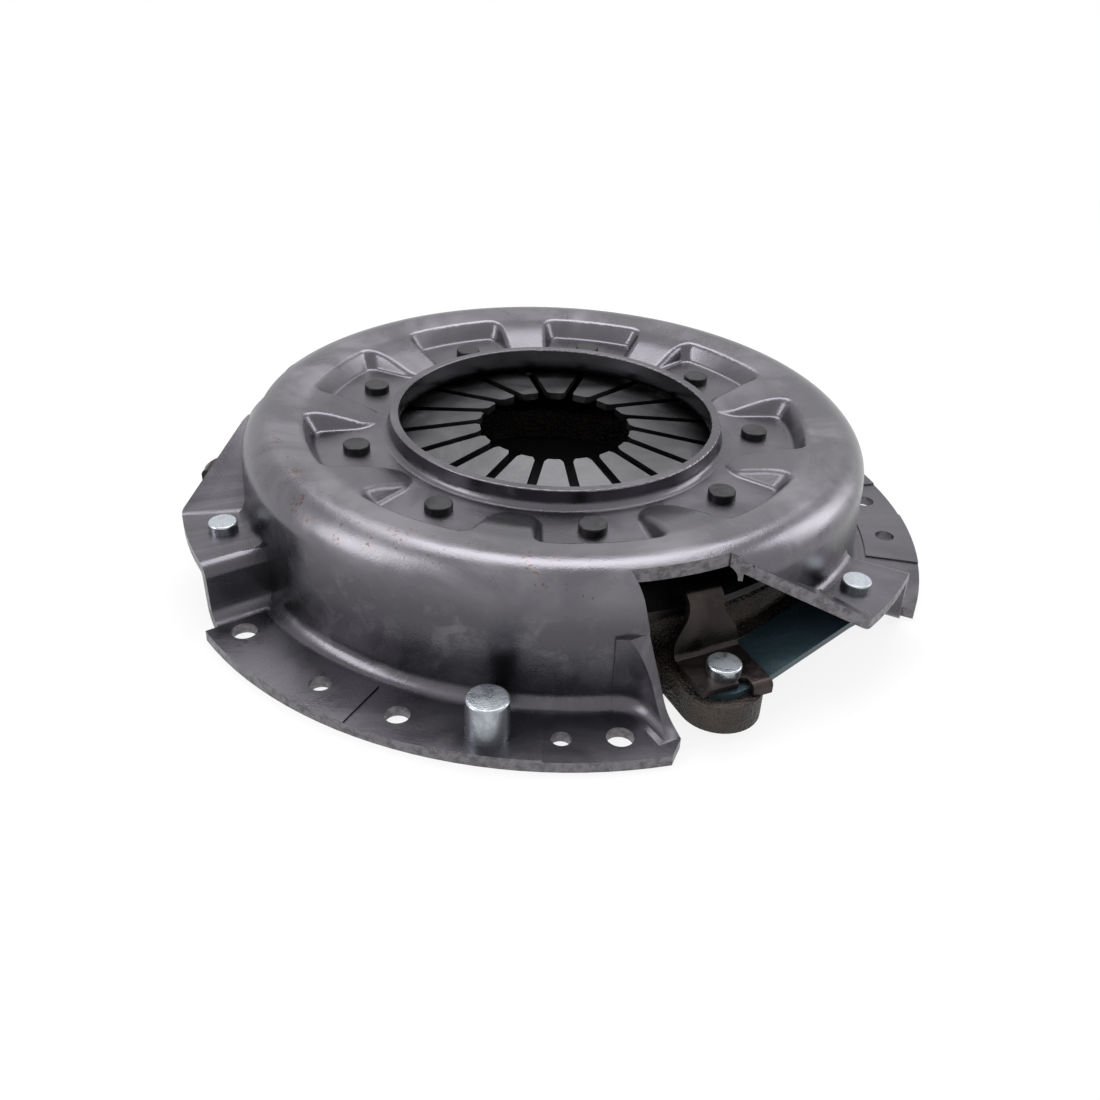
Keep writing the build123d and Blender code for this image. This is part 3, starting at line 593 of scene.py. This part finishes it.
@dataclass
class DiaphragmSpring:
    """The fingered spring, in its modelled shape; the script doesn't flatten it as the plate lifts."""

    nodes: dict[str, bpy.types.Object]
    pivot: Point = (0.0, 0.0, 32.5 * MM)
    keep: float = 0.42
    steel: Finish = field(
        default_factory=lambda: Finish(
            "blasted_spring_steel",
            base=(0.066, 0.066, 0.07),
            tone=(0.1, 0.099, 0.104),
            gloss=(0.32, 0.46),
            smudge_scale=40.0,
            grain_scale=2200.0,
            grain_pits=0.8,
            grain_depth=0.05 * MM,
        )
    )

    def build(self, effects: Effects) -> bpy.types.Object:
        """Makes the spring.

        Args:
            effects: The shared effect groups.

        Returns:
            The spring's object.
        """
        part = Part("spring_fingers", Slot.SPRING)
        part.copy_node(self.nodes["diaphragm_spring"])
        part.join_flats()
        part.soften()
        made = part.finish((self.steel.material(effects),), ("diaphragm_spring",), edge=0.25 * MM)
        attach(made, Body.COVER.value)
        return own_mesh(made)


@dataclass
class StrapLeaves:
    """The leaf straps between the lugs and the ears, cut across into short lengths but not bent."""

    nodes: dict[str, bpy.types.Object]
    lug_at: float = 45.6
    ear_at: float = 74.8
    circle: float = 124.7 * MM
    mids: tuple[int, ...] = (-120, 0, 120)
    cuts: int = 12
    clamped: float = 0.1
    leaves: int = 3
    steel: Finish = field(
        default_factory=lambda: Finish(
            "tempered_strip",
            base=(0.028, 0.052, 0.063),
            tone=(0.045, 0.076, 0.09),
            metallic=0.4,
            gloss=(0.24, 0.38),
            smudge_scale=35.0,
        )
    )

    def ends(self, mid: float) -> tuple[Vector, Vector]:
        """Rivet places at a strap's lug and ear ends.

        Args:
            mid: The sector's middle angle in degrees.

        Returns:
            The lug's point and the ear's point.
        """
        points = []
        for angle in (mid + self.lug_at, mid + self.ear_at):
            turn = math.radians(angle)
            points.append(Vector((self.circle * math.cos(turn), self.circle * math.sin(turn), 0.0)))
        return points[0], points[1]

    def build(self, effects: Effects) -> list[bpy.types.Object]:
        """Makes every leaf.

        Args:
            effects: The shared effect groups.

        Returns:
            The leaves' objects.
        """
        material = self.steel.material(effects)
        made = []
        for number, mid in enumerate(self.mids, 1):
            lug, ear = self.ends(mid)
            along = ear - lug
            for layer in range(1, self.leaves + 1):
                node = f"drive_strap_{number}_leaf_{layer}"
                part = Part(f"strap_{number}_leaf_{layer}", Slot.STRAP)
                part.copy_node(self.nodes[node])
                part.join_flats()
                for step in range(1, self.cuts):
                    bmesh.ops.bisect_plane(
                        part.mesh,
                        geom=part.mesh.verts[:] + part.mesh.edges[:] + part.mesh.faces[:],
                        plane_co=lug + along * step / self.cuts,
                        plane_no=along,
                    )
                part.soften()
                leaf = part.finish((material,), (node,))
                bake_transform(leaf)
                made.append(leaf)
        return made


@dataclass
class PressurePlate:
    """The cast pressure plate with its lugs."""

    nodes: dict[str, bpy.types.Object]
    iron: Finish = field(
        default_factory=lambda: Finish(
            "cast_iron",
            base=(0.036, 0.031, 0.029),
            tone=(0.08, 0.064, 0.055),
            metallic=0.6,
            gloss=(0.5, 0.75),
            smudge_scale=70.0,
            grain_scale=900.0,
            grain_pits=1.4,
            grain_depth=0.6 * MM,
            speck_scale=700.0,
            speck_share=0.92,
        )
    )

    def build(self, effects: Effects) -> bpy.types.Object:
        """Makes the plate.

        Args:
            effects: The shared effect groups.

        Returns:
            The plate's object.
        """
        part = Part("plate_casting", Slot.IRON)
        part.copy_node(self.nodes["pressure_plate"])
        part.join_flats()
        part.soften()
        made = part.finish((self.iron.material(effects),), ("pressure_plate",))
        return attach(made, Body.PLATE.value)


@dataclass
class Fasteners:
    """Rivets, pivot rings, clips and the balance weight."""

    nodes: dict[str, bpy.types.Object]
    black: Finish = field(
        default_factory=lambda: Finish(
            "blackened_rivet",
            base=(0.016, 0.015, 0.017),
            tone=(0.036, 0.034, 0.037),
            metallic=0.7,
            gloss=(0.3, 0.44),
            smudge_scale=160.0,
        )
    )
    zinc: Finish = field(
        default_factory=lambda: Finish(
            "zinc_plate",
            base=(0.42, 0.455, 0.49),
            tone=(0.3, 0.32, 0.345),
            gloss=(0.26, 0.42),
            smudge_scale=180.0,
            grain_depth=0.06 * MM,
        )
    )
    wire: Finish = field(
        default_factory=lambda: Finish(
            "drawn_wire", base=(0.07, 0.07, 0.074), tone=(0.11, 0.11, 0.114), gloss=(0.3, 0.4)
        )
    )
    brown: Finish = field(
        default_factory=lambda: Finish(
            "browned_strip",
            base=(0.022, 0.0175, 0.017),
            tone=(0.046, 0.037, 0.035),
            metallic=0.85,
            gloss=(0.24, 0.4),
            smudge_scale=75.0,
        )
    )

    def build(self, effects: Effects) -> list[bpy.types.Object]:
        """Makes the small pieces.

        Args:
            effects: The shared effect groups.

        Returns:
            Their objects.
        """
        black = self.black.material(effects)
        zinc = self.zinc.material(effects)
        wire = self.wire.material(effects)
        brown = self.brown.material(effects)
        table = [
            ("fulcrum_rivets", "fulcrum_rivet_heads", Body.COVER, Slot.BLACK_RIVET, black),
            ("ear_rivets", "ear_rivet_heads", Body.COVER, Slot.ZINC_RIVET, zinc),
            ("balance_weight", "balance_pin", Body.COVER, Slot.ZINC_RIVET, zinc),
            ("pivot_ring_upper", "upper_pivot_wire", Body.COVER, Slot.WIRE, wire),
            ("pivot_ring_lower", "lower_pivot_wire", Body.COVER, Slot.WIRE, wire),
            ("lug_rivets", "lug_rivet_heads", Body.PLATE, Slot.ZINC_RIVET, zinc),
        ]
        for number in (1, 2, 3):
            table.append(
                (f"retracting_clip_{number}", f"clip_{number}", Body.PLATE, Slot.CLIP, brown)
            )
        made = []
        for node, name, body, slot, material in table:
            part = Part(name, slot)
            part.copy_node(self.nodes[node])
            part.join_flats()
            part.soften()
            piece = part.finish((material,), (node,))
            made.append(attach(piece, body.value))
        return made


@dataclass(frozen=True)
class Lamp:
    """A soft box: where it hangs, its width and height in metres, and its watts."""

    name: str
    place: Point
    size: tuple[float, float]
    power: float


@dataclass
class Studio:
    """Camera, floor, backdrop and lamps."""

    effects: Effects
    eye: Point = (-0.0719, -0.3831, 0.2332)
    forward: Point = (0.15719, 0.83130, -0.53312)
    right: Point = (0.98630, -0.15953, 0.04206)
    lens: float = 37.494
    floor_z: float = -0.0003
    # Painted shadow: radii in mm over which the floor turns from dark to pale.
    painted_shadow_radius: tuple[float, float] = (88.0, 116.0)
    far: tuple[float, float] = (200.0, 700.0)
    glow: tuple[float, float] = (0.86, 1.0)
    pale: Colour = (0.9, 0.9, 0.9)
    # Painted shadow: the floor's colour under the object.
    painted_shadow_colour: Colour = (0.05, 0.05, 0.054)
    floor_half: float = 6.0
    world_light: float = 0.55
    sensor: float = 36.0
    aim: Point = (0.0, 0.0, 0.02)
    lamps: tuple[Lamp, ...] = (
        Lamp("overhead", (0.1, 0.5, 1.1), (1.0, 0.7), 11.0),
        Lamp("left_box", (-1.0, -0.2, 0.6), (0.4, 0.8), 6.0),
        Lamp("right_box", (1.0, 0.1, 0.5), (0.4, 0.7), 4.0),
    )

    def camera(self) -> None:
        """Sets the camera to the photograph's place and angle."""
        data = bpy.data.cameras.new("view")
        data.lens = self.lens
        data.sensor_width = self.sensor
        data.clip_start = 0.01
        made = bpy.data.objects.new("view", data)
        right = Vector(self.right).normalized()
        back = -Vector(self.forward).normalized()
        up = back.cross(right).normalized()
        right = up.cross(back)
        turn = Matrix((right, up, back)).transposed().to_4x4()
        made.matrix_world = Matrix.Translation(Vector(self.eye)) @ turn
        bpy.context.scene.collection.objects.link(made)
        bpy.context.scene.camera = made

    @staticmethod
    def seen(graph: Graph) -> bpy.types.NodeSocket:
        """A mask for rays that show the background: camera, glossy and transmission."""
        path = graph.node("LightPath")
        both = graph.math("MAXIMUM", path.outputs["Is Camera Ray"], path.outputs["Is Glossy Ray"])
        return graph.math("MAXIMUM", both, path.outputs["Is Transmission Ray"])

    def floor(self) -> None:
        """Lays a pale floor with a faint shadow, and a painted shadow: a dark colour right under the
        object.
        """
        mesh = bmesh.new()
        bmesh.ops.create_grid(mesh, x_segments=1, y_segments=1, size=self.floor_half)
        bmesh.ops.translate(mesh, verts=mesh.verts, vec=(0.0, 0.0, self.floor_z))
        data = bpy.data.meshes.new("floor")
        mesh.to_mesh(data)
        mesh.free()
        made = bpy.data.objects.new("floor", data)
        bpy.context.scene.collection.objects.link(made)
        material = bpy.data.materials.new("pale_floor_painted_shadow")
        material.use_nodes = True
        graph = Graph(material.node_tree)
        material.node_tree.nodes.remove(material.node_tree.nodes["Principled BSDF"])
        place = graph.node("TexCoord").outputs["Object"]
        radius = self.effects.around.use(graph, place).outputs["Radius"]
        # Painted shadow: the floor is dark inside this radius and has no glow there.
        outside_painted_shadow = graph.ramp(radius, *self.painted_shadow_radius)
        matte = graph.node("BsdfDiffuse", Color=graph.mix(outside_painted_shadow, self.painted_shadow_colour, self.pale))
        glow = graph.node("Emission", Color=(1.0, 1.0, 1.0, 1.0), Strength=1.0)
        blend = graph.node("MixShader")
        near, away = self.glow
        level = graph.math("MULTIPLY_ADD", graph.ramp(radius, *self.far), away - near, near)
        clear = graph.math("MULTIPLY", outside_painted_shadow, level)
        share = graph.math("MULTIPLY", self.seen(graph), clear)
        graph.tree.links.new(share, blend.inputs[0])
        graph.tree.links.new(matte.outputs[0], blend.inputs[1])
        graph.tree.links.new(glow.outputs[0], blend.inputs[2])
        graph.tree.links.new(blend.outputs[0], material.node_tree.nodes["Material Output"].inputs[0])
        data.materials.append(material)

    def world(self) -> None:
        """White behind the object, and a softer light on it."""
        world = bpy.data.worlds.new("studio")
        world.use_nodes = True
        bpy.context.scene.world = world
        graph = Graph(world.node_tree)
        background = world.node_tree.nodes["Background"]
        background.inputs["Color"].default_value = (1.0, 1.0, 1.0, 1.0)
        level = graph.node("MapRange", To_Min=self.world_light, To_Max=1.0)
        graph.tree.links.new(self.seen(graph), level.inputs[0])
        graph.tree.links.new(level.outputs[0], background.inputs["Strength"])

    def hang(self, lamp: Lamp) -> None:
        """Hangs a soft box that faces the object.

        Args:
            lamp: The soft box.
        """
        data = bpy.data.lights.new(lamp.name, "AREA")
        data.shape = "RECTANGLE"
        data.size, data.size_y = lamp.size
        data.energy = lamp.power
        made = bpy.data.objects.new(lamp.name, data)
        aim = (Vector(self.aim) - Vector(lamp.place)).to_track_quat("-Z", "Y")
        made.matrix_world = Matrix.Translation(Vector(lamp.place)) @ aim.to_matrix().to_4x4()
        bpy.context.scene.collection.objects.link(made)

    def build(self) -> None:
        """Sets up the whole studio."""
        self.camera()
        self.floor()
        self.world()
        for lamp in self.lamps:
            self.hang(lamp)
        bpy.context.scene.view_settings.view_transform = "Standard"


def main() -> None:
    """Loads the frame and builds the visible model and its studio."""
    logging.basicConfig(level=logging.INFO, format="%(name)s %(message)s")
    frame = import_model()
    nodes = frame["nodes"]
    effects = Effects()
    CoverPressing(nodes).build(effects)
    DiaphragmSpring(nodes).build(effects)
    StrapLeaves(nodes).build(effects)
    PressurePlate(nodes).build(effects)
    Fasteners(nodes).build(effects)
    Studio(effects).build()
    bpy.context.view_layer.update()


if __name__ == "__main__":
    main()
